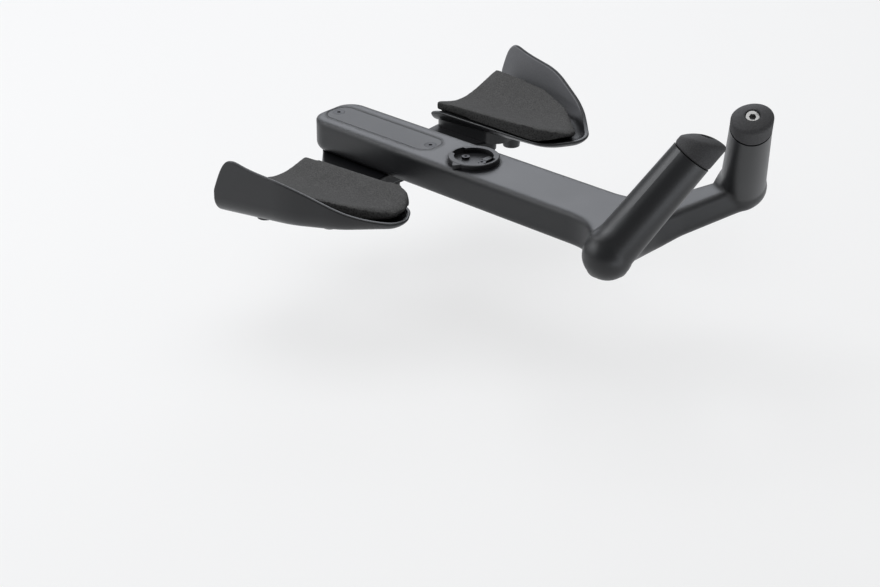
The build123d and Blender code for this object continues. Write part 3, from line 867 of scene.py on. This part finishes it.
@dataclass
class Armrest:
    """One forearm cup with its foam pad.

    Attributes:
        side: Which of the two it is.
        weld: The distance within which the solid's points are joined.
        voxel: The size of the even mesh's faces.
        smoothing: How often the even mesh is smoothed.
        smoothing_factor: How far each smoothing goes.
        shrink: How far the foam is drawn in before it is blown up.
        pressure: The pressure inside the foam.
        frames: How long it is blown up.
        cap: How far a point may move.
        fill: How much of the pad's volume the foam takes up; not used.
        rear: The rear end of the pad.
        inner: The inner side of the pad.
        top_facing: How far up a face of the pad's top looks, at least.
        side_foot: The height at which the sides start to slant.
        side_height: The height over which they reach their full slant.
        front_rise: How much thicker the foam gets towards its nose.
        front_inset: How far the top's outline is drawn in.
    """

    side: Side
    weld: float = 1e-6
    voxel: float = 0.0012
    smoothing: int = 12
    smoothing_factor: float = 0.5
    shrink: float = 0.0002
    pressure: float = 2.0
    frames: int = 12
    cap: float = 0.0012
    fill: float = 0.85
    rear: float = 0.005
    inner: float = 0.072
    top_facing: float = 0.3
    side_foot: float = 0.040
    side_height: float = 0.008
    front_rise: float = 0.034
    front_inset: float = 0.03

    def dress(self) -> None:
        """Gives the cup and the hook-and-loop patches their finishes."""
        dress(self.side.named("cup"), CUP_PLASTIC)
        dress(self.side.named("pad_patches"), PATCH_FABRIC)

    def _drafted(self, place: Vector, normal: Vector) -> Vector:
        """Thickens the foam towards its nose and slants its outer sides.

        Args:
            place: A point of the pad.
            normal: The surface's direction there.

        Returns:
            Where the point goes.
        """
        share = (place.z - self.side_foot) / self.side_height
        share = 1.0 if normal.z > self.top_facing else min(1.0, max(0.0, share))
        keep = 1.0 - self.front_inset * share
        inner = self.inner * self.side.value
        ahead = place.x - self.rear
        return Vector(
            (
                self.rear + ahead * keep,
                inner + (place.y - inner) * keep,
                place.z + ahead * self.front_rise * share,
            )
        )

    def _even_mesh(self, name: str) -> bpy.types.Mesh:
        """Copies the pad's solid into an even, closed mesh.

        Args:
            name: The pad's name.

        Returns:
            The mesh.
        """
        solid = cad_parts[self.side.named("pad")]
        shape = bmesh.new()
        shape.from_mesh(solid.data)
        bmesh.ops.transform(shape, matrix=solid.matrix_world, verts=shape.verts)
        bmesh.ops.remove_doubles(shape, verts=shape.verts, dist=self.weld)
        mesh = bpy.data.meshes.new(name)
        shape.to_mesh(mesh)
        shape.free()
        carrier = bpy.data.objects.new(name + "_carrier", mesh)
        bpy.context.scene.collection.objects.link(carrier)
        remesh = carrier.modifiers.new("Even", "REMESH")
        remesh.mode = "VOXEL"
        remesh.voxel_size = self.voxel
        even = bpy.data.meshes.new_from_object(
            carrier.evaluated_get(bpy.context.evaluated_depsgraph_get())
        )
        bpy.data.objects.remove(carrier)
        return even

    def _foam_mesh(self, name: str) -> bpy.types.Mesh:
        """Shapes the foam: drafted sides and soft edges.

        Args:
            name: The new mesh's name.

        Returns:
            The mesh.
        """
        even = self._even_mesh(name)
        shape = bmesh.new()
        shape.from_mesh(even)
        shape.normal_update()
        for vert in shape.verts:
            vert.co = self._drafted(vert.co, vert.normal)
        for _ in range(self.smoothing):
            bmesh.ops.smooth_vert(
                shape,
                verts=shape.verts,
                factor=self.smoothing_factor,
                use_axis_x=True,
                use_axis_y=True,
                use_axis_z=True,
            )
        shape.normal_update()
        for vert in shape.verts:
            vert.co -= vert.normal * self.shrink
        shape.to_mesh(even)
        shape.free()
        even.name = name
        return even

    def _swell(self, pad: bpy.types.Object) -> None:
        """Blows the foam up as pressed cloth and keeps every point within the cap.

        Args:
            pad: The pad, whose mesh is changed.
        """
        rest = np.empty(len(pad.data.vertices) * 3)
        pad.data.vertices.foreach_get("co", rest)
        rest = rest.reshape(-1, 3)
        cloth = pad.modifiers.new("Foam", "CLOTH")
        cloth.settings.use_pressure = True
        cloth.settings.uniform_pressure_force = self.pressure
        cloth.settings.effector_weights.gravity = 0.0
        scene = bpy.context.scene
        for number in range(1, self.frames + 1):
            scene.frame_set(number)
        blown = pad.evaluated_get(bpy.context.evaluated_depsgraph_get()).to_mesh()
        moved = np.empty(len(blown.vertices) * 3)
        blown.vertices.foreach_get("co", moved)
        move = moved.reshape(-1, 3) - rest
        length = np.linalg.norm(move, axis=1, keepdims=True)
        move *= np.minimum(1.0, self.cap / np.maximum(length, TINY))
        move[:, 2] = np.maximum(move[:, 2], 0.0)
        pad.modifiers.remove(cloth)
        scene.frame_set(1)
        pad.data.vertices.foreach_set("co", (rest + move).ravel())
        pad.data.update()

    def build(self) -> None:
        """Builds the foam pad in the place of its plain solid."""
        node = self.side.named("pad")
        name = self.side.named("foam_pad")
        pad = add_piece(name, self._foam_mesh(name), PAD_FOAM)
        self._swell(pad)
        finer = pad.modifiers.new("Finer", "SUBSURF")
        finer.levels = finer.render_levels = 1
        shade_smooth(pad.data)
        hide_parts(node)


@dataclass
class ArmrestFixings:
    """The screws that hold both cups on the bridge, and their inserts."""

    def dress(self) -> None:
        """Gives the screws and inserts their finishes."""
        dress("cup_screws", BLACK_SCREW)
        dress("cup_inserts", INSERT_BRASS)


@dataclass
class GripPlug:
    """The plug in the end of one grip."""

    side: Side

    def dress(self) -> None:
        """Gives the plug, its sleeve and its nut their finishes."""
        dress(self.side.named("grip_cap"), CAP_RUBBER)
        dress(self.side.named("expander_sleeve"), SLEEVE_RUBBER)
        dress(self.side.named("expander_nut"), NUT_ALLOY)


@dataclass
class PlugBolts:
    """The bright bolts sunk in both grip plugs."""

    def dress(self) -> None:
        """Gives the bolts their finish."""
        dress("cap_bolts", BRIGHT_STEEL)


@dataclass(frozen=True)
class Lamp:
    """One soft box of the studio.

    Attributes:
        name: The lamp's name.
        place: Where it hangs.
        target: The point it looks at.
        size: Its width and height.
        power: Its power, in watts.
        colour: The colour of its light.
    """

    name: str
    place: Point
    target: Point
    size: tuple[float, float]
    power: float
    colour: Colour

    def hang(self) -> None:
        """Hangs the lamp where the camera doesn't see it."""
        light = bpy.data.lights.new(self.name, "AREA")
        light.shape = "RECTANGLE"
        light.size, light.size_y = self.size
        light.energy = self.power
        light.color = self.colour
        box = bpy.data.objects.new(self.name, light)
        box.location = self.place
        aim = Vector(self.target) - Vector(self.place)
        box.rotation_euler = aim.to_track_quat("-Z", "Y").to_euler()
        box.visible_camera = False
        bpy.context.scene.collection.objects.link(box)
        LOG.info("hung %s", self.name)


LAMPS = (
    Lamp(
        "overhead_box", (0.05, 0.05, 1.5), (0.1, 0.0, 0.05), (1.6, 1.2), 12.0, (0.97, 0.98, 1.0)
    ),
    Lamp(
        "rear_box", (-0.95, 1.05, 0.85), (0.12, 0.0, 0.05), (1.6, 0.9), 10.4, (0.90, 0.93, 1.0)
    ),
    Lamp(
        "left_box", (-0.85, -0.85, 0.70), (0.2, 0.0, 0.06), (1.7, 1.0), 8.0, (0.95, 0.97, 1.0)
    ),
    Lamp(
        "right_strip", (1.45, 0.55, 0.55), (0.25, 0.0, 0.06), (0.4, 1.0), 0.8, (0.92, 0.96, 1.0)
    ),
    Lamp(
        "front_card", (0.88, -0.05, -0.055), (0.88, -0.05, 1.0), (0.7, 0.6), 2.2, (0.90, 0.94, 1.0)
    ),
    Lamp(
        "edge_strip", (-0.74, -0.63, 0.97), (0.1, 0.0, 0.05), (0.5, 0.45), 3.4, (0.95, 0.97, 1.0)
    ),
)


@dataclass
class Studio:
    """The pale floor, the soft light and the camera.

    Attributes:
        lamps: The soft boxes.
        floor_height: The height of the floor.
        floor_reach: How far the floor goes to each side.
        floor_colour: The colour of its paper.
        floor_white: The strength of the floor's own white.
        floor_veil: How much of that white the camera sees.
        mirror_veil: How much of it shows in mirrors and through glass.
        sky_colour: The colour of the even light from all round.
        sky_strength: Its strength.
        camera_place: Where the camera stands.
        camera_right: The direction that the picture's right is.
        camera_up: The direction that its top is.
        camera_back: The direction behind the camera.
        lens: The camera's focal length, in millimetres.
        sensor: The sensor's width, in millimetres.
        clip: The nearest and farthest distance that is drawn.
    """

    lamps: tuple[Lamp, ...] = LAMPS
    floor_height: float = -0.06
    floor_reach: float = 6.0
    floor_colour: Colour = (0.86, 0.86, 0.86)
    floor_white: float = 0.9
    floor_veil: float = 0.72
    mirror_veil: float = 0.2
    sky_colour: Colour = (0.96, 0.98, 1.0)
    sky_strength: float = 0.32
    camera_place: Point = (1.0768, -1.1106, 0.6937)
    camera_right: Point = (0.7408, 0.6717, 0.0)
    camera_up: Point = (-0.3015, 0.3325, 0.8935)
    camera_back: Point = (0.6006, -0.6616, 0.4488)
    lens: float = 97.8
    sensor: float = 36.0
    clip: Range = (0.05, 30.0)

    def _seen(self, graph: ShaderGraph) -> Value:
        """Tells how much of the floor's own white a ray shows: straight, mirrored or through glass.

        Args:
            graph: The floor's graph.

        Returns:
            The share of white.
        """
        path = graph.node("ShaderNodeLightPath").outputs
        straight = Value(graph, path["Is Camera Ray"])
        mirrored = Value(graph, path["Is Glossy Ray"])
        through = Value(graph, path["Is Transmission Ray"])
        return straight * self.floor_veil + (mirrored + through) * self.mirror_veil

    def build_floor(self) -> None:
        """Lays the pale floor, which keeps the object's shadow."""
        reach = self.floor_reach
        mesh = bpy.data.meshes.new("studio_floor")
        corners = [(-reach, -reach), (reach, -reach), (reach, reach), (-reach, reach)]
        mesh.from_pydata([(x, y, self.floor_height) for x, y in corners], [], [(0, 1, 2, 3)])
        floor = bpy.data.objects.new("studio_floor", mesh)
        bpy.context.scene.collection.objects.link(floor)
        paper = bpy.data.materials.new("floor_paper")
        paper.use_nodes = True
        graph = ShaderGraph(paper.node_tree)
        matt = graph.node("ShaderNodeBsdfDiffuse", {}, {"Color": (*self.floor_colour, 1.0)})
        white = graph.node(
            "ShaderNodeEmission",
            {},
            {"Color": (1.0, 1.0, 1.0, 1.0), "Strength": self.floor_white},
        )
        mixed = graph.node(
            "ShaderNodeMixShader",
            {},
            {0: self._seen(graph), 1: matt.outputs[0], 2: white.outputs[0]},
        )
        graph.node("ShaderNodeOutputMaterial", {}, {"Surface": mixed.outputs[0]})
        mesh.materials.append(paper)
        LOG.info("laid the floor")

    def build_world(self) -> None:
        """Sets the even light that comes from all round."""
        world = bpy.data.worlds.new("studio_world")
        world.use_nodes = True
        graph = ShaderGraph(world.node_tree)
        sky = graph.node(
            "ShaderNodeBackground",
            {},
            {"Color": (*self.sky_colour, 1.0), "Strength": self.sky_strength},
        )
        graph.node("ShaderNodeOutputWorld", {}, {"Surface": sky.outputs[0]})
        bpy.context.scene.world = world

    def build_camera(self) -> None:
        """Sets up the camera at the photograph's viewing angle."""
        lens = bpy.data.cameras.new("studio_camera")
        lens.sensor_fit = "HORIZONTAL"
        lens.sensor_width = self.sensor
        lens.lens = self.lens
        lens.clip_start, lens.clip_end = self.clip
        camera = bpy.data.objects.new("studio_camera", lens)
        axes = Matrix((self.camera_right, self.camera_up, self.camera_back)).transposed()
        camera.matrix_world = Matrix.Translation(self.camera_place) @ axes.to_4x4()
        bpy.context.scene.collection.objects.link(camera)
        bpy.context.scene.camera = camera

    def build(self) -> None:
        """Builds the whole studio."""
        bpy.context.scene.view_settings.view_transform = "Standard"
        self.build_floor()
        self.build_world()
        for lamp in self.lamps:
            lamp.hang()
        self.build_camera()


def main() -> None:
    """Builds and dresses every part of the object, then the studio."""
    logging.basicConfig(level=logging.INFO, format="%(message)s")
    ForkedBeam().dress()
    stack = ClampStack()
    stack.dress()
    stack.build()
    mount = ComputerMount()
    mount.dress()
    mount.build()
    for side in Side:
        armrest = Armrest(side)
        armrest.dress()
        armrest.build()
        GripPlug(side).dress()
    ArmrestFixings().dress()
    PlugBolts().dress()
    Studio().build()


if __name__ == "__main__":
    main()
